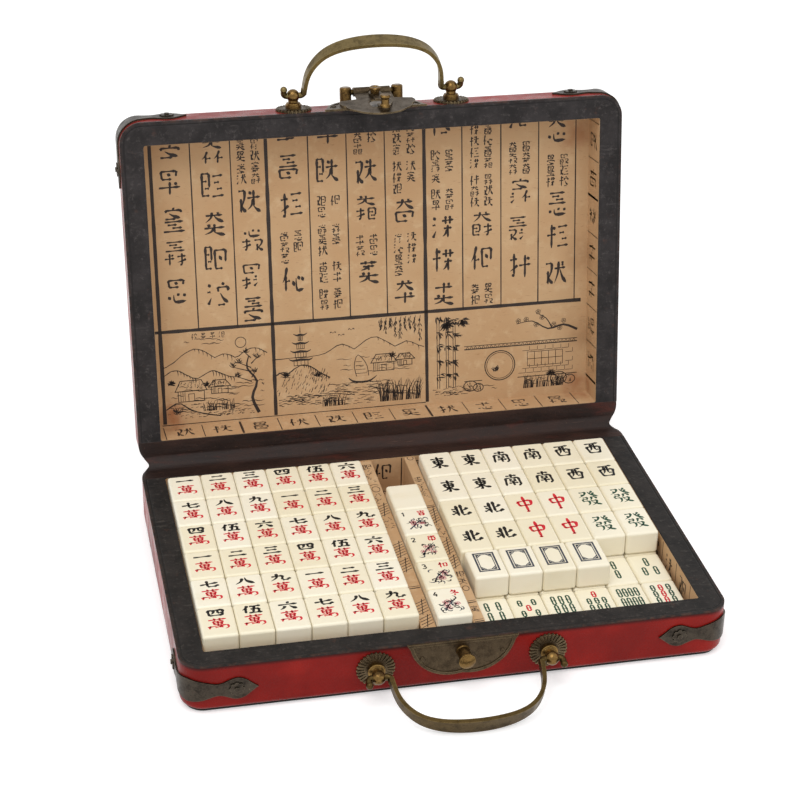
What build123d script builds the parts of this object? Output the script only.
from build123d import *
from math import asin, cos, radians, sin
import os

# A travelling mahjong case, lid open, tiles packed inside. Millimetres.
# X runs to the right, Y to the hinge side, Z up; the origin is the centre of the underside.

# Case
case_width = 235.0
case_depth = 164.0
base_height = 23.5
lid_height = 20.5
lid_hollow = 17.3
rim_width = 10.6
hinge_rim_width = 11.8
corner_radius = 10.0
opening_radius = 1.0
lid_edge_radius = 6.5
base_edge_radius = 2.5
skin = 0.6
lining = 0.2
underside_thickness = 1.5
floor_top = 4.9

# Lid hinge: the closed lid stands one rim gap above the pivot line
rim_gap = 0.15
hinge_height = base_height + rim_gap
lid_open = 99.4

# Dividers between the tile blocks (left and right faces)
divider_height = 17.3
left_divider = (-14.9, -8.4)
right_divider = (7.6, 12.8)

# Tiles
tile_width = 15.1
tile_length = 21.6
tile_height = 11.15
tile_pitch_x = 15.26
tile_pitch_y = 21.8
tile_edge = 1.3
tile_gap = 0.05
left_block_corner = (-106.5, 63.7)
right_block_corner = (13.14, 64.0)
white_row_left = 14.5
centre_corner = (-8.1, 37.9)

# Handles
handle_half_span = 37.0
base_handle_height = 13.5
lid_handle_height = 8.3
post_reach = 6.6
post_ball_radius = 3.05
eye_radius = 1.8
wire_radius = 1.4
handle_arch = ((31.6, 7.0), (30.6, 12.0), (28.0, 17.5), (23.8, 22.2), (18.0, 25.4), (9.2, 27.5))
handle_reach = 28.1
handle_foot = 1.6
handle_thickness = 1.8
handle_grip_width = 7.5
handle_leg_width = 3.4
base_handle_droop = 19.5
lid_handle_droop = 26.5

# Latch
rod_from_rim = 11.4
rod_height = 6.1
rod_radius = 1.3
barrel_half_span = 12.1
barrel_radius = 2.7
barrel_height = 8.6
hasp_droop = 9.3
hasp_half_width = 17.5
hasp_length = 29.5
hasp_thickness = 0.7
knuckle_radius = 2.1
slot_distance = 17.4
pivot_distance = 6.2
finger_distance = 24.4
knob_height = 17.9
knob_reach = 9.5
knob_radius = 3.5
knob_shaft_radius = 2.8
plate_half_width = 23.8
plate_drop = 16.2
leaf_drop = 18.6
plate_thickness = 0.5
bead_height = 0.9

# Corner straps
right_strap_centre = 13.2
left_strap_centre = 11.8
strap_thickness = 0.8
strap_tip = 31.6
strap_nail = 22.6
strap_half_height = 5.9

# Hidden stop hinges on the back
hinge_half_span = 70.0
hinge_leaf_length = 26.0
hinge_leaf_depth = 13.0
hinge_leaf_thickness = 0.8
hinge_pin = 0.7
hinge_knuckle = 1.5
hinge_notch = 1.9

half_width = case_width / 2
half_depth = case_depth / 2
opening_half_width = half_width - rim_width
opening_front = rim_width - half_depth
opening_back = half_depth - hinge_rim_width
open_angle = radians(lid_open)

# Planes. Each tray plane is centred on its half of the case, at the level of z = 0 (base)
# or of the pivot line (lid), and keeps +Y toward the hinge.
base = Plane.XY
lid_up = Vector(0, sin(open_angle), cos(open_angle))
lid_back = Vector(0, cos(open_angle), -sin(open_angle))
hinge_point = Vector(0, half_depth, hinge_height)
lid = Plane(hinge_point - lid_back * half_depth, x_dir=(1, 0, 0), z_dir=lid_up)
base_front = Plane((0, -half_depth, 0), x_dir=(1, 0, 0), z_dir=(0, -1, 0))
lid_front = Plane(hinge_point - lid_back * case_depth, x_dir=(1, 0, 0), z_dir=-lid_back)
base_back = Plane((0, half_depth, 0), x_dir=(-1, 0, 0), z_dir=(0, 1, 0))
lid_rear = Plane(hinge_point, x_dir=(-1, 0, 0), z_dir=lid_back)

os.makedirs("parts", exist_ok=True)


def footprint(plane, inset):
    """The rounded plan of the case, drawn in by inset."""
    with BuildSketch(plane) as plan:
        RectangleRounded(
            case_width - 2 * inset, case_depth - 2 * inset, corner_radius - inset
        )
    return plan.sketch


def opening(plane, inset=0.0):
    """The plan of the hollow inside the frame, drawn in by inset."""
    with BuildSketch(plane) as plan:
        with Locations((0, (opening_front + opening_back) / 2)):
            RectangleRounded(
                2 * opening_half_width - 2 * inset,
                opening_back - opening_front - 2 * inset,
                opening_radius - inset,
            )
    return plan.sketch


def mitred_boards(plane, block):
    """The four boards of a frame, cut from its block and mitred where they meet."""
    outside = [(-half_width, -half_depth), (half_width, -half_depth)]
    outside += [(half_width, half_depth), (-half_width, half_depth)]
    inside = [(-opening_half_width, opening_front), (opening_half_width, opening_front)]
    inside += [(opening_half_width, opening_back), (-opening_half_width, opening_back)]
    boards = []
    for this, following in ((0, 1), (1, 2), (2, 3), (3, 0)):
        with BuildPart() as board:
            add(block)
            with BuildSketch(plane) as plan:
                Polygon(outside[this], outside[following], inside[following], inside[this], align=None)
            extrude(plan.sketch, amount=base_height, mode=Mode.INTERSECT)
        boards += board.part.solids()
    return boards


def hinge_notches(plane):
    """Grooves on the pivot line that the two hinge knuckles turn in."""
    for x in (-hinge_half_span, hinge_half_span):
        side = Plane(
            plane.from_local_coords(Vector(x - hinge_leaf_length / 2 - 0.4, half_depth, 0)),
            x_dir=plane.y_dir,
            z_dir=(1, 0, 0),
        )
        with BuildSketch(side) as groove:
            Circle(hinge_notch)
        extrude(groove.sketch, amount=hinge_leaf_length + 0.8, mode=Mode.SUBTRACT)


# The two halves as plain rounded blocks, outside and under the skin
covering_bottom = underside_thickness
base_skin_top = base_height - skin

with BuildPart() as base_outside:
    extrude(footprint(base.offset(covering_bottom), 0), amount=base_skin_top - covering_bottom)
    fillet(base_outside.faces().sort_by(Axis.Z)[0].edges(), base_edge_radius)

with BuildPart() as base_core:
    core_bottom = covering_bottom + skin
    extrude(footprint(base.offset(core_bottom), skin), amount=base_skin_top - core_bottom)
    fillet(base_core.faces().sort_by(Axis.Z)[0].edges(), base_edge_radius - skin)

lid_axis = Axis(lid.origin, lid_up)
lid_skin_bottom = rim_gap + skin
lid_top = rim_gap + lid_height
panel_bottom = rim_gap + lid_hollow

with BuildPart() as lid_outside:
    extrude(footprint(lid.offset(lid_skin_bottom), 0), amount=lid_top - lid_skin_bottom)
    fillet(lid_outside.faces().sort_by(lid_axis)[-1].edges(), lid_edge_radius)

with BuildPart() as lid_core:
    extrude(footprint(lid.offset(lid_skin_bottom), skin), amount=lid_top - skin - lid_skin_bottom)
    fillet(lid_core.faces().sort_by(lid_axis)[-1].edges(), lid_edge_radius - skin)


# Base tray: wooden frame, floor, underside, covering, rim and lining

with BuildPart() as base_block:
    add(base_core.part)
    hinge_notches(base.offset(hinge_height))
base_frame = Compound(mitred_boards(base, base_block.part), label="base_frame")
export_step(base_frame, "parts/base_frame.step")

with BuildPart() as base_floor_panel:
    extrude(opening(base.offset(covering_bottom)), amount=floor_top - covering_bottom)
base_floor_panel.part.label = "base_floor_panel"
export_step(base_floor_panel.part, "parts/base_floor_panel.step")

with BuildPart() as base_underside:
    extrude(footprint(base, base_edge_radius - 0.6), amount=underside_thickness)
    fillet(base_underside.faces().sort_by(Axis.Z)[0].edges(), 0.8)
base_underside.part.label = "base_underside"
export_step(base_underside.part, "parts/base_underside.step")

with BuildPart() as base_side_covering:
    add(base_outside.part)
    add(base_core.part, mode=Mode.SUBTRACT)
    extrude(opening(base), amount=core_bottom, mode=Mode.SUBTRACT)
    hinge_notches(base.offset(hinge_height))
base_side_covering.part.label = "base_side_covering"
export_step(base_side_covering.part, "parts/base_side_covering.step")


def rim_ring(plane):
    """The charcoal strip on the front and side rims, open at the hinge side."""
    extrude(footprint(plane, 0), amount=skin)
    extrude(opening(plane), amount=skin, mode=Mode.SUBTRACT)
    hinge_cut = Plane(plane.from_local_coords(Vector(0, opening_back, 0)), z_dir=plane.y_dir)
    split(bisect_by=hinge_cut, keep=Keep.BOTTOM)


with BuildPart() as base_rim:
    rim_ring(base.offset(base_skin_top))
base_rim.part.label = "base_rim"
export_step(base_rim.part, "parts/base_rim.step")

with BuildPart() as base_floor_lining:
    extrude(opening(base.offset(floor_top)), amount=lining)
base_floor_lining.part.label = "base_floor_lining"
export_step(base_floor_lining.part, "parts/base_floor_lining.step")

with BuildPart() as base_wall_lining:
    lining_bottom = floor_top + lining
    extrude(opening(base.offset(lining_bottom)), amount=base_skin_top - lining_bottom)
    extrude(opening(base.offset(lining_bottom), lining), amount=base_height, mode=Mode.SUBTRACT)
base_wall_lining.part.label = "base_wall_lining"
export_step(base_wall_lining.part, "parts/base_wall_lining.step")

divider_front = opening_front + lining
divider_back = opening_back - lining


def divider(faces):
    """A paper-covered bar that stands on the floor lining from the front wall to the back."""
    with BuildSketch(base.offset(floor_top + lining)) as plan:
        with Locations((sum(faces) / 2, (divider_front + divider_back) / 2)):
            Rectangle(faces[1] - faces[0], divider_back - divider_front)
    extrude(plan.sketch, amount=divider_height)


with BuildPart() as base_divider_left:
    divider(left_divider)
    fillet(base_divider_left.faces().sort_by(Axis.Z)[-1].edges().filter_by(Axis.Y), 0.5)
base_divider_left.part.label = "base_divider_left"
export_step(base_divider_left.part, "parts/base_divider_left.step")

with BuildPart() as base_divider_right:
    divider(right_divider)
    fillet(base_divider_right.faces().sort_by(Axis.Z)[-1].edges().filter_by(Axis.Y), 0.5)
base_divider_right.part.label = "base_divider_right"
export_step(base_divider_right.part, "parts/base_divider_right.step")


# Lid tray: wooden frame, panel, covering, rim and lining

with BuildPart() as lid_block:
    add(lid_core.part)
    split(bisect_by=lid.offset(panel_bottom), keep=Keep.BOTTOM)
    hinge_notches(lid)
lid_frame = Compound(mitred_boards(lid, lid_block.part), label="lid_frame")
export_step(lid_frame, "parts/lid_frame.step")

with BuildPart() as lid_panel:
    add(lid_core.part)
    split(bisect_by=lid.offset(panel_bottom), keep=Keep.TOP)
lid_panel.part.label = "lid_panel"
export_step(lid_panel.part, "parts/lid_panel.step")

with BuildPart() as lid_covering:
    add(lid_outside.part)
    add(lid_core.part, mode=Mode.SUBTRACT)
    hinge_notches(lid)
lid_covering.part.label = "lid_covering"
export_step(lid_covering.part, "parts/lid_covering.step")

with BuildPart() as lid_rim:
    rim_ring(lid.offset(rim_gap))
lid_rim.part.label = "lid_rim"
export_step(lid_rim.part, "parts/lid_rim.step")

with BuildPart() as lid_panel_lining:
    extrude(opening(lid.offset(panel_bottom - lining)), amount=lining)
lid_panel_lining.part.label = "lid_panel_lining"
export_step(lid_panel_lining.part, "parts/lid_panel_lining.step")

with BuildPart() as lid_wall_lining:
    wall_height = panel_bottom - lining - lid_skin_bottom
    extrude(opening(lid.offset(lid_skin_bottom)), amount=wall_height)
    extrude(opening(lid, lining), amount=lid_height, mode=Mode.SUBTRACT)
lid_wall_lining.part.label = "lid_wall_lining"
export_step(lid_wall_lining.part, "parts/lid_wall_lining.step")

# Leather glued over both hinge-side rims, bridging the pivot line in a shallow valley

fold_edge = 3.4
fold_length = case_width - 2 * 7.5


def hinge_flap(plane):
    """The leather on one hinge-side rim, following the rounded corners of the case."""
    with BuildPart() as flap:
        extrude(footprint(plane, 0.1), amount=skin)
        extrude(opening(plane), amount=skin, mode=Mode.SUBTRACT)
        for y, kept in ((opening_back, Keep.TOP), (half_depth - fold_edge, Keep.BOTTOM)):
            cut = Plane(plane.from_local_coords(Vector(0, y, 0)), z_dir=plane.y_dir)
            split(bisect_by=cut, keep=kept)
    return flap.part


with BuildPart() as hinge_strip:
    add(hinge_flap(base.offset(base_skin_top)))
    add(hinge_flap(lid.offset(rim_gap)))
    valley = Plane((-fold_length / 2, half_depth, hinge_height), x_dir=(0, 1, 0), z_dir=(1, 0, 0))
    lid_corners = [
        valley.to_local_coords(
            Vector(valley.origin.X, 0, 0)
            + lid.from_local_coords(Vector(0, half_depth - fold_edge, height))
        )
        for height in (rim_gap, rim_gap + skin)
    ]
    with BuildSketch(valley) as bridge:
        with BuildLine():
            Polyline(
                (-fold_edge, -rim_gap - skin),
                (-fold_edge, -rim_gap),
                *[(corner.X, corner.Y) for corner in lid_corners],
                close=True,
            )
        make_face()
    extrude(bridge.sketch, amount=fold_length)
hinge_strip.part.label = "hinge_strip"
export_step(hinge_strip.part, "parts/hinge_strip.step")


# Front hardware, the same on both halves: each face plane has X to the right and Y away
# from the underside (base) or from the rim (lid)

ribs = 28
rosette_radius = 8.0
rosette_boss = 4.7
rib_length = 3.9
rib_centre = 5.9
petals = 8
post_collar = 3.4


def rosette(face, x, y):
    """A thin dished disc with a scalloped, ribbed edge and a hole for the post."""
    place = Plane(face.from_local_coords(Vector(x, y, 0)), x_dir=face.x_dir, z_dir=face.z_dir)
    with BuildPart(place) as disc:
        with BuildSketch(place) as plan:
            Circle(rosette_radius - 0.35)
            with PolarLocations(rosette_radius - 0.35, ribs):
                Circle(0.62)
        extrude(plan.sketch, amount=0.7)
        with BuildSketch(place) as rib_plan:
            with PolarLocations(rib_centre, ribs):
                Rectangle(rib_length, 0.7)
            Circle(rosette_boss)
        extrude(rib_plan.sketch, amount=1.15)
        with BuildSketch(place) as bore:
            Circle(2.05)
        extrude(bore.sketch, amount=1.2, mode=Mode.SUBTRACT)
    return disc.part


def post(face, x, y):
    """A turned eye post: two-step collar, neck, and a ball drilled along X for the bail."""
    place = Plane(face.from_local_coords(Vector(x, y, 0)), x_dir=face.x_dir, z_dir=face.z_dir)
    turning = Plane(place.origin, x_dir=place.x_dir, z_dir=-place.y_dir)
    with BuildPart(place) as turned:
        with BuildSketch(turning) as profile:
            with BuildLine():
                Polyline(
                    (0, 0),
                    (2.0, 0),
                    (2.0, 1.2),
                    (3.7, 1.2),
                    (3.7, 2.7),
                    (3.3, 3.0),
                    (3.3, post_collar),
                    (2.3, post_collar + 0.4),
                    (2.3, post_reach - 0.5),
                    (0, post_reach - 0.5),
                    close=True,
                )
            make_face()
        revolve(profile.sketch, axis=Axis(place.origin, place.z_dir))
        with Locations((0, 0, post_reach)):
            Sphere(post_ball_radius)
        eye = Plane(
            place.from_local_coords(Vector(-post_ball_radius, 0, post_reach)),
            x_dir=place.y_dir,
            z_dir=place.x_dir,
        )
        with BuildSketch(eye) as hole:
            Circle(eye_radius)
        extrude(hole.sketch, amount=2 * post_ball_radius, mode=Mode.SUBTRACT)
    return turned.part


def round_nail(face, x, y, height, radius=1.1):
    """A domed nail head that stands on the face."""
    place = Plane(face.from_local_coords(Vector(x, y, height)), x_dir=face.x_dir, z_dir=face.z_dir)
    with BuildPart(place) as nail:
        with BuildSketch(place) as head:
            Circle(radius)
        extrude(head.sketch, amount=0.5)
        fillet(nail.edges().sort_by(Axis(place.origin, place.z_dir))[-1], 0.35)
    return nail.part


def flower_nail(face, x, y, height):
    """A nail head pressed as an eight-petalled flower."""
    place = Plane(face.from_local_coords(Vector(x, y, height)), x_dir=face.x_dir, z_dir=face.z_dir)
    with BuildPart(place) as nail:
        with BuildSketch(place) as petal_ring:
            Circle(2.0)
            with PolarLocations(2.3, petals):
                Circle(0.95)
        extrude(petal_ring.sketch, amount=0.6)
        with BuildSketch(place) as centre:
            Circle(1.1)
        extrude(centre.sketch, amount=1.2)
    return nail.part


def corner_strap(front, y):
    """A flat strap wrapped round the right front corner, pinched between its nails and corner."""
    corner = front.from_local_coords(Vector(half_width, y, 0))
    along_front = Plane(corner, x_dir=-front.x_dir, z_dir=front.z_dir)
    along_side = Plane(corner, x_dir=-front.z_dir, z_dir=front.x_dir)
    bend_centre = Vector(half_width - corner_radius, y - strap_half_height, -corner_radius)
    plan = Plane(front.from_local_coords(bend_centre), x_dir=front.x_dir, z_dir=front.y_dir)
    arm = strap_tip - corner_radius
    with BuildPart() as strap:
        with BuildSketch(plan) as band:
            with BuildSketch(mode=Mode.PRIVATE) as bend:
                Circle(corner_radius + strap_thickness)
                Circle(corner_radius, mode=Mode.SUBTRACT)
                Rectangle(
                    2 * corner_radius, 2 * corner_radius,
                    align=(Align.MIN, Align.MAX), mode=Mode.INTERSECT,
                )
            add(bend.sketch)
            with Locations((0, -corner_radius)):
                Rectangle(arm, strap_thickness, align=(Align.MAX, Align.MAX))
            with Locations((corner_radius, 0)):
                Rectangle(strap_thickness, arm, align=(Align.MIN, Align.MIN))
        extrude(band.sketch, amount=2 * strap_half_height)
        for face in (along_front, along_side):
            with BuildSketch(face) as outline:
                with BuildLine():
                    edge = Spline(
                        (strap_tip, 0),
                        (strap_nail + 6.0, 2.3),
                        (strap_nail + 3.2, 4.4),
                        (strap_nail - 0.4, 5.1),
                        (strap_nail - 3.8, 3.9),
                        (strap_nail - 7.2, 2.8),
                        (corner_radius, 4.0),
                        (corner_radius / 2, 5.2),
                        (-2 * strap_thickness, strap_half_height),
                    )
                    mirror(edge, about=Plane.XZ)
                    Line(edge @ 1, (-2 * strap_thickness, -strap_half_height))
                make_face()
            extrude(outline.sketch, amount=strap_tip + 1, both=True, mode=Mode.INTERSECT)
    return strap.part


def strap_nail_pair(front, y):
    """The flower nails on the front and side ends of one strap."""
    side = Plane(
        front.from_local_coords(Vector(half_width, 0, 0)), x_dir=-front.z_dir, z_dir=front.x_dir
    )
    with BuildPart() as nails:
        add(flower_nail(front, half_width - strap_nail, y, strap_thickness))
        add(flower_nail(side, strap_nail, y, strap_thickness))
    return nails.part


def half_moon(face, straight_edge, down, drop):
    """A thin half-moon plate with a beaded border, its straight edge along the rim."""
    place = Plane(
        face.from_local_coords(Vector(0, straight_edge, 0)), x_dir=face.x_dir, z_dir=face.z_dir
    )
    with BuildPart() as plate:
        with BuildSketch(place) as outline:
            with BuildLine():
                Line((0, 0), (plate_half_width, 0))
                Line((plate_half_width, 0), (plate_half_width - 1.5, down * 2.6))
                ThreePointArc(
                    (plate_half_width - 1.5, down * 2.6),
                    (plate_half_width * 0.67, down * drop * 0.78),
                    (0, down * drop),
                )
                mirror(about=Plane.YZ)
            make_face()
        extrude(outline.sketch, amount=plate_thickness)
        with BuildSketch(place) as border:
            add(outline.sketch_local)
            offset(outline.sketch_local, amount=-1.3, mode=Mode.SUBTRACT)
        extrude(border.sketch, amount=bead_height)
    return plate.part


def arch_line(leg_foot, shift):
    """Points along the bail from foot to foot, moved out from its middle line by shift."""
    half = [Vector(leg_foot, handle_foot)] + [Vector(x, y) for x, y in handle_arch]
    middle = half + [Vector(0, handle_reach)] + [Vector(-p.X, p.Y) for p in reversed(half)]
    below = Vector(0, -1)
    line = []
    for i, point in enumerate(middle):
        before = middle[i - 1] if i > 0 else point + below
        after = middle[i + 1] if i < len(middle) - 1 else point + below
        heading = (after - before).normalized()
        line.append((point.X + shift * heading.Y, point.Y - shift * heading.X))
    return line


def bail(face, y, droop):
    """A strap handle bent to a U, flat and wide at the grip, with a wire end through each eye."""
    pivot = face.from_local_coords(Vector(0, y, post_reach))
    reach = face.z_dir * cos(radians(droop)) - face.y_dir * sin(radians(droop))
    flat = Plane(pivot, x_dir=face.x_dir, z_dir=face.x_dir.cross(reach))
    leg_foot = handle_half_span - 4.9
    curl = handle_half_span + 4.4
    with BuildPart() as handle:
        with BuildSketch(flat) as loop:
            with BuildLine():
                outer = Spline(*arch_line(leg_foot, handle_thickness / 2))
                inner = Spline(*arch_line(leg_foot, -handle_thickness / 2))
                Line(outer @ 0, inner @ 0)
                Line(outer @ 1, inner @ 1)
            make_face()
        extrude(loop.sketch, amount=handle_grip_width, both=True)
        broad = Plane(pivot, x_dir=face.x_dir, z_dir=reach)
        edge_x = handle_half_span
        with BuildSketch(broad) as width:
            with BuildLine():
                swell = Spline(
                    (-edge_x, handle_leg_width / 2),
                    (-edge_x * 0.56, handle_grip_width * 0.4),
                    (0, handle_grip_width / 2),
                    (edge_x * 0.56, handle_grip_width * 0.4),
                    (edge_x, handle_leg_width / 2),
                )
                mirror(swell, about=Plane.XZ)
                Line(swell @ 0, (-edge_x, -handle_leg_width / 2))
                Line(swell @ 1, (edge_x, -handle_leg_width / 2))
            make_face()
        extrude(width.sketch, amount=handle_reach + 2, mode=Mode.INTERSECT)
        for side in (-1, 1):
            with BuildLine(flat) as route:
                FilletPolyline(
                    (side * leg_foot, handle_foot + 1.8),
                    (side * leg_foot, 0),
                    (side * curl, 0),
                    (side * curl, 3.5),
                    radius=1.7,
                )
            with BuildSketch(Plane(route.line @ 0, z_dir=route.line % 0)) as wire:
                Circle(wire_radius)
            sweep(wire.sketch, path=route.line)
            with Locations(flat.from_local_coords(Vector(side * curl, 3.5, 0))):
                Sphere(wire_radius + 0.2)
    return handle.part


# Base hardware

with BuildPart() as base_front_plate:
    add(half_moon(base_front, base_height - 0.1, -1, plate_drop))
base_front_plate.part.label = "base_front_plate"
export_step(base_front_plate.part, "parts/base_front_plate.step")

with BuildPart() as base_plate_nails:
    add(round_nail(base_front, 17.2, base_height - 7.6, plate_thickness))
    mirror(about=Plane.YZ)
base_plate_nails.part.label = "base_plate_nails"
export_step(base_plate_nails.part, "parts/base_plate_nails.step")

with BuildPart() as base_knob:
    knob_place = Plane(
        base_front.from_local_coords(Vector(0, knob_height, plate_thickness)),
        x_dir=base_front.x_dir,
        z_dir=base_front.z_dir,
    )
    knob_length = knob_reach - plate_thickness
    dome_radius = (knob_radius**2 + 1) / 2
    half_arc = asin(knob_radius / dome_radius) / 2
    dome_middle = (
        dome_radius * sin(half_arc),
        knob_length - dome_radius * (1 - cos(half_arc)),
    )
    with BuildSketch(Plane(knob_place.origin, x_dir=(1, 0, 0), z_dir=(0, 0, -1))) as turned_knob:
        with BuildLine():
            Polyline(
                (0, 0),
                (3.0, 0),
                (3.0, 0.6),
                (knob_shaft_radius, 1.0),
                (knob_shaft_radius, knob_length - 3.2),
                (knob_radius, knob_length - 1.8),
                (knob_radius, knob_length - 1.0),
            )
            ThreePointArc((knob_radius, knob_length - 1.0), dome_middle, (0, knob_length))
            Line((0, knob_length), (0, 0))
        make_face()
    revolve(turned_knob.sketch, axis=Axis(knob_place.origin, knob_place.z_dir))
base_knob.part.label = "base_knob"
export_step(base_knob.part, "parts/base_knob.step")

with BuildPart() as base_handle_rosettes:
    add(rosette(base_front, handle_half_span, base_handle_height))
    mirror(about=Plane.YZ)
base_handle_rosettes.part.label = "base_handle_rosettes"
export_step(base_handle_rosettes.part, "parts/base_handle_rosettes.step")

with BuildPart() as base_handle_posts:
    add(post(base_front, handle_half_span, base_handle_height))
    mirror(about=Plane.YZ)
base_handle_posts.part.label = "base_handle_posts"
export_step(base_handle_posts.part, "parts/base_handle_posts.step")

with BuildPart() as base_handle_bail:
    add(bail(base_front, base_handle_height, base_handle_droop))
base_handle_bail.part.label = "base_handle_bail"
export_step(base_handle_bail.part, "parts/base_handle_bail.step")

with BuildPart() as base_corner_straps:
    add(corner_strap(base_front, right_strap_centre))
    add(mirror(corner_strap(base_front, left_strap_centre), about=Plane.YZ))
base_corner_straps.part.label = "base_corner_straps"
export_step(base_corner_straps.part, "parts/base_corner_straps.step")

with BuildPart() as base_strap_nails:
    add(strap_nail_pair(base_front, right_strap_centre))
    add(mirror(strap_nail_pair(base_front, left_strap_centre), about=Plane.YZ))
base_strap_nails.part.label = "base_strap_nails"
export_step(base_strap_nails.part, "parts/base_strap_nails.step")


# Lid hardware

lid_strap_centre = rim_gap + 9.2
lid_post_y = rim_gap + lid_handle_height

with BuildPart() as lid_handle_rosettes:
    add(rosette(lid_front, handle_half_span, lid_post_y))
    mirror(about=Plane.YZ)
lid_handle_rosettes.part.label = "lid_handle_rosettes"
export_step(lid_handle_rosettes.part, "parts/lid_handle_rosettes.step")

with BuildPart() as lid_handle_posts:
    add(post(lid_front, handle_half_span, lid_post_y))
    mirror(about=Plane.YZ)
lid_handle_posts.part.label = "lid_handle_posts"
export_step(lid_handle_posts.part, "parts/lid_handle_posts.step")

with BuildPart() as lid_handle_bail:
    add(bail(lid_front, lid_post_y, lid_handle_droop))
lid_handle_bail.part.label = "lid_handle_bail"
export_step(lid_handle_bail.part, "parts/lid_handle_bail.step")

with BuildPart() as lid_corner_straps:
    add(corner_strap(lid_front, lid_strap_centre))
    mirror(about=Plane.YZ)
lid_corner_straps.part.label = "lid_corner_straps"
export_step(lid_corner_straps.part, "parts/lid_corner_straps.step")

with BuildPart() as lid_strap_nails:
    add(strap_nail_pair(lid_front, lid_strap_centre))
    mirror(about=Plane.YZ)
lid_strap_nails.part.label = "lid_strap_nails"
export_step(lid_strap_nails.part, "parts/lid_strap_nails.step")


# Latch: leaf, barrels and rod on the lid; hasp on the rod; swivel hook on the hasp

with BuildPart() as latch_leaf:
    add(half_moon(lid_front, rim_gap + 0.1, 1, leaf_drop))
latch_leaf.part.label = "latch_leaf"
export_step(latch_leaf.part, "parts/latch_leaf.step")

with BuildPart() as latch_leaf_nails:
    add(round_nail(lid_front, 18.3, rim_gap + 7.6, plate_thickness))
    mirror(about=Plane.YZ)
latch_leaf_nails.part.label = "latch_leaf_nails"
export_step(latch_leaf_nails.part, "parts/latch_leaf_nails.step")

rod_y = rim_gap + rod_from_rim
rod_centre = lid_front.from_local_coords(Vector(0, rod_y, rod_height))
rod_plane = Plane(rod_centre, x_dir=lid_front.y_dir, z_dir=lid_front.x_dir)

with BuildPart() as latch_barrels:
    with BuildSketch(lid_front.offset(plate_thickness)) as barrel_plan:
        with Locations((barrel_half_span, rod_y), (-barrel_half_span, rod_y)):
            Circle(barrel_radius)
    extrude(barrel_plan.sketch, amount=barrel_height - plate_thickness)
    top_faces = latch_barrels.faces().sort_by(Axis(lid_front.origin, lid_front.z_dir))[-2:]
    fillet(top_faces.edges(), 0.9)
    with BuildSketch(rod_plane) as rod_hole:
        Circle(rod_radius)
    extrude(rod_hole.sketch, amount=barrel_half_span, both=True, mode=Mode.SUBTRACT)
latch_barrels.part.label = "latch_barrels"
export_step(latch_barrels.part, "parts/latch_barrels.step")

with BuildPart() as latch_rod:
    with BuildSketch(rod_plane) as rod_section:
        Circle(rod_radius)
    extrude(rod_section.sketch, amount=barrel_half_span, both=True)
latch_rod.part.label = "latch_rod"
export_step(latch_rod.part, "parts/latch_rod.step")

droop = radians(hasp_droop)
hasp_normal = lid_front.z_dir * cos(droop) - lid_front.y_dir * sin(droop)
hasp = Plane(rod_centre, x_dir=lid_front.x_dir, z_dir=hasp_normal)
hasp_low = hasp.offset(-hasp_thickness / 2)
hasp_high = hasp.offset(hasp_thickness / 2)
neck_half_width = 8.6
neck_length = 10.4

with BuildPart() as hasp_plate:
    with BuildSketch(hasp_low) as hasp_outline:
        with BuildLine():
            Line((0, 0), (neck_half_width, 0))
            Line((neck_half_width, 0), (neck_half_width, -neck_length))
            Line((neck_half_width, -neck_length), (hasp_half_width - 0.9, -neck_length - 1.5))
            shoulder = (hasp_half_width - 0.9, -neck_length - 1.5)
            ThreePointArc(shoulder, (hasp_half_width, -15.4), (15.3, -18.8))
            ThreePointArc((15.3, -18.8), (14.5, -21.8), (11.9, -24.0))
            ThreePointArc((11.9, -24.0), (6.8, -28.1), (0, -hasp_length))
            mirror(about=Plane.YZ)
        make_face()
        with Locations((0, -slot_distance)):
            SlotOverall(10.8, 8.2, rotation=90, mode=Mode.SUBTRACT)
    extrude(hasp_outline.sketch, amount=hasp_thickness)
    with BuildSketch(rod_plane) as knuckle:
        Circle(knuckle_radius)
    extrude(knuckle.sketch, amount=neck_half_width, both=True)
    with BuildSketch(rod_plane) as knuckle_bore:
        Circle(rod_radius + 0.06)
    extrude(knuckle_bore.sketch, amount=neck_half_width, both=True, mode=Mode.SUBTRACT)
hasp_plate.part.label = "hasp_plate"
export_step(hasp_plate.part, "parts/hasp_plate.step")

pivot_x = 0.5
hook_thickness = 1.1
hook_inner = 3.1
hook_outer = 6.3
hook_base = hasp_high.offset(0.08)
finger_x = 1.5

with BuildPart() as swivel_hook:
    with BuildSketch(hook_base) as hook_outline:
        with Locations((0, -slot_distance)):
            Circle(hook_outer)
            Circle(hook_inner, mode=Mode.SUBTRACT)
        with Locations((-1.2, -slot_distance)):
            Rectangle(hook_outer * 2, hook_outer * 2, align=(Align.MAX, Align.CENTER), mode=Mode.SUBTRACT)
        Polygon(
            (pivot_x - 2.4, -pivot_distance),
            (pivot_x + 2.5, -pivot_distance),
            (4.9, -slot_distance + 4.0),
            (1.0, -slot_distance + 4.4),
            align=None,
        )
        with Locations((pivot_x, -pivot_distance)):
            Circle(2.9)
        with Locations((finger_x, -finger_distance)):
            Circle(2.5)
        Polygon(
            (finger_x - 2.2, -finger_distance),
            (0.0, -slot_distance - 4.4),
            (5.2, -slot_distance - 3.5),
            (finger_x + 2.4, -finger_distance),
            align=None,
        )
        with Locations((pivot_x, -pivot_distance)):
            Circle(1.3, mode=Mode.SUBTRACT)
    extrude(hook_outline.sketch, amount=hook_thickness)
swivel_hook.part.label = "swivel_hook"
export_step(swivel_hook.part, "parts/swivel_hook.step")


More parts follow.
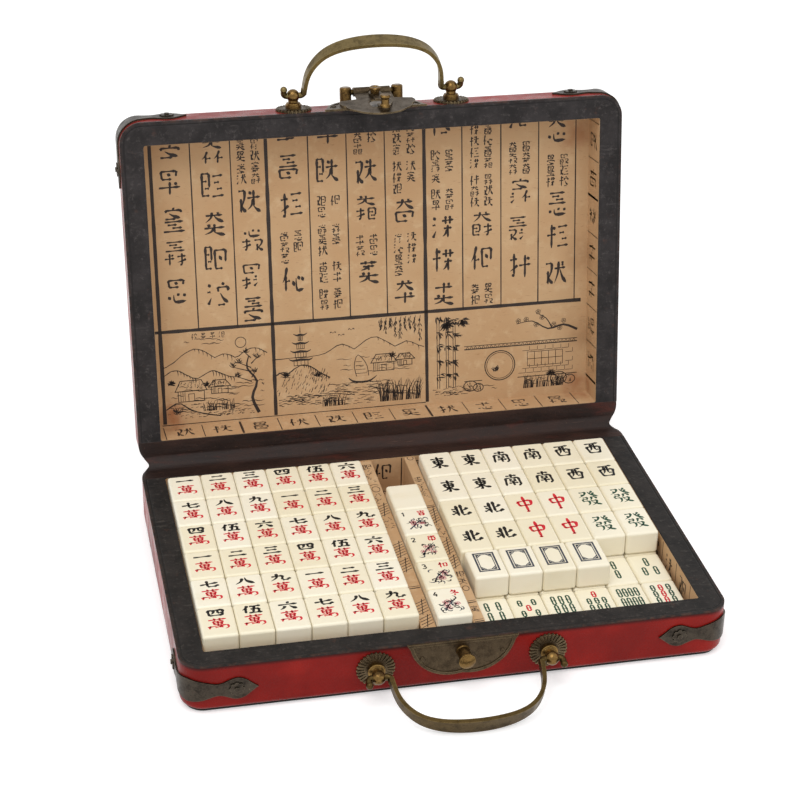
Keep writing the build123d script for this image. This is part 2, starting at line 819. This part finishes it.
def turned_on(plane, x, y, points):
    """A solid turned about the normal of a plane at a point, from (radius, height) points."""
    foot = plane.from_local_coords(Vector(x, y, 0))
    turning = Plane(foot, x_dir=plane.x_dir, z_dir=-plane.y_dir)
    with BuildSketch(turning) as section:
        with BuildLine():
            Polyline(*points, close=True)
        make_face()
    revolve(section.sketch, axis=Axis(foot, plane.z_dir))


rivet_height = hook_thickness + 0.16
with BuildPart() as hook_rivet:
    turned_on(
        hasp_high,
        pivot_x,
        -pivot_distance,
        (
            (0, 0),
            (1.25, 0),
            (1.25, rivet_height),
            (2.1, rivet_height),
            (2.1, rivet_height + 1.0),
            (2.6, rivet_height + 1.3),
            (2.6, rivet_height + 2.3),
            (2.2, rivet_height + 2.7),
            (1.2, rivet_height + 2.7),
            (1.0, rivet_height + 2.4),
            (0, rivet_height + 2.4),
        ),
    )
hook_rivet.part.label = "hook_rivet"
export_step(hook_rivet.part, "parts/hook_rivet.step")

with BuildPart() as hook_finger_knob:
    turned_on(
        hook_base.offset(hook_thickness),
        finger_x,
        -finger_distance,
        (
            (0, 0),
            (2.4, 0),
            (2.4, 0.8),
            (1.8, 1.3),
            (1.8, 3.6),
            (2.4, 4.6),
            (2.4, 5.2),
            (1.9, 5.6),
            (0, 5.6),
        ),
    )
hook_finger_knob.part.label = "hook_finger_knob"
export_step(hook_finger_knob.part, "parts/hook_finger_knob.step")


# Stop hinges on the back: two leaves each, knuckles on the pivot line, one pin each

knuckle_length = hinge_leaf_length / 3
knuckle_clearance = 0.15


def across_hinge(middle_x, length, outward):
    """The plane of a hinge section at one end of a length along X, with its X pointing outward."""
    start = Vector(middle_x - length / 2, hinge_point.Y, hinge_point.Z)
    return Plane(start, x_dir=outward, z_dir=(1, 0, 0))


def leaf_section(place, into_leaf, length, start):
    """A flat stretch of a hinge leaf, beginning at a distance from the pin."""
    sign = 1 if place.y_dir.dot(into_leaf) > 0 else -1
    with BuildSketch(place) as leaf:
        with Locations((0, sign * start)):
            Rectangle(
                hinge_leaf_thickness,
                hinge_leaf_depth - start,
                align=(Align.MIN, Align.MIN if sign > 0 else Align.MAX),
            )
    extrude(leaf.sketch, amount=length)


def hinge_leaf(outward, into_leaf, knuckle_offsets):
    """One leaf of each stop hinge, with the knuckles at the given offsets along X."""
    for centre in (-hinge_half_span, hinge_half_span):
        whole = across_hinge(centre, hinge_leaf_length, outward)
        leaf_section(whole, into_leaf, hinge_leaf_length, hinge_notch)
        for offset_x in knuckle_offsets:
            length = knuckle_length - knuckle_clearance
            place = across_hinge(centre + offset_x, length, outward)
            leaf_section(place, into_leaf, length, 0)
            with BuildSketch(place) as barrel:
                Circle(hinge_knuckle)
            extrude(barrel.sketch, amount=length)
        bore = Plane(
            Vector(centre - hinge_leaf_length, hinge_point.Y, hinge_point.Z), z_dir=(1, 0, 0)
        )
        with BuildSketch(bore) as hole:
            Circle(hinge_pin + 0.05)
        extrude(hole.sketch, amount=2 * hinge_leaf_length, mode=Mode.SUBTRACT)


with BuildPart() as hinge_leaves_base:
    hinge_leaf(Vector(0, 1, 0), Vector(0, 0, -1), (-knuckle_length, knuckle_length))
hinge_leaves_base.part.label = "hinge_leaves_base"
export_step(hinge_leaves_base.part, "parts/hinge_leaves_base.step")

with BuildPart() as hinge_leaves_lid:
    hinge_leaf(lid_back, lid_up, (0,))
hinge_leaves_lid.part.label = "hinge_leaves_lid"
export_step(hinge_leaves_lid.part, "parts/hinge_leaves_lid.step")

with BuildPart() as hinge_pins:
    for centre in (-hinge_half_span, hinge_half_span):
        start = Vector(centre - hinge_leaf_length / 2, hinge_point.Y, hinge_point.Z)
        with BuildSketch(Plane(start, z_dir=(1, 0, 0))) as pin_section:
            Circle(hinge_pin)
        extrude(pin_section.sketch, amount=hinge_leaf_length)
hinge_pins.part.label = "hinge_pins"
export_step(hinge_pins.part, "parts/hinge_pins.step")


def hinge_nails(face, y):
    """Two domed nails in each leaf."""
    for centre in (-hinge_half_span, hinge_half_span):
        for offset_x in (-8.5, 8.5):
            add(round_nail(face, centre + offset_x, y, hinge_leaf_thickness, 1.3))


with BuildPart() as hinge_nails_base:
    hinge_nails(base_back, hinge_height - 8.0)
hinge_nails_base.part.label = "hinge_nails_base"
export_step(hinge_nails_base.part, "parts/hinge_nails_base.step")

with BuildPart() as hinge_nails_lid:
    hinge_nails(lid_rear, 8.0)
hinge_nails_lid.part.label = "hinge_nails_lid"
export_step(hinge_nails_lid.part, "parts/hinge_nails_lid.step")


# Tiles: each a rounded block, laid out from the back left corner of its block

lower_bottom = floor_top + lining + tile_gap
upper_bottom = lower_bottom + tile_height + tile_gap

with BuildPart() as tile:
    Box(
        tile_width, tile_length, tile_height, align=(Align.MIN, Align.MAX, Align.MIN)
    )
    fillet(tile.edges(), tile_edge)


def tile_block(corner, columns, rows, bottom, first_row=0, pitch_y=tile_pitch_y):
    """Rows run toward the front from the back left corner."""
    for column in range(columns):
        for row in range(first_row, first_row + rows):
            place = (corner[0] + column * tile_pitch_x, corner[1] - row * pitch_y, bottom)
            with Locations(place):
                add(tile.part)


with BuildPart() as circles_lower:
    tile_block(left_block_corner, 6, 6, lower_bottom)
circles_lower.part.label = "circles_lower"
export_step(circles_lower.part, "parts/circles_lower.step")

with BuildPart() as characters_upper:
    tile_block(left_block_corner, 6, 6, upper_bottom)
characters_upper.part.label = "characters_upper"
export_step(characters_upper.part, "parts/characters_upper.step")

with BuildPart() as bamboo_lower:
    tile_block(right_block_corner, 6, 6, lower_bottom)
bamboo_lower.part.label = "bamboo_lower"
export_step(bamboo_lower.part, "parts/bamboo_lower.step")

with BuildPart() as honours_upper:
    tile_block(right_block_corner, 6, 4, upper_bottom)
honours_upper.part.label = "honours_upper"
export_step(honours_upper.part, "parts/honours_upper.step")

with BuildPart() as white_dragons:
    tile_block((white_row_left, right_block_corner[1]), 4, 1, upper_bottom, first_row=4)
white_dragons.part.label = "white_dragons"
export_step(white_dragons.part, "parts/white_dragons.step")

centre_pitch = 21.75

with BuildPart() as centre_lower:
    tile_block(centre_corner, 1, 5, lower_bottom, pitch_y=centre_pitch)
centre_lower.part.label = "centre_lower"
export_step(centre_lower.part, "parts/centre_lower.step")

with BuildPart() as centre_upper:
    tile_block(centre_corner, 1, 5, upper_bottom, pitch_y=centre_pitch)
centre_upper.part.label = "centre_upper"
export_step(centre_upper.part, "parts/centre_upper.step")
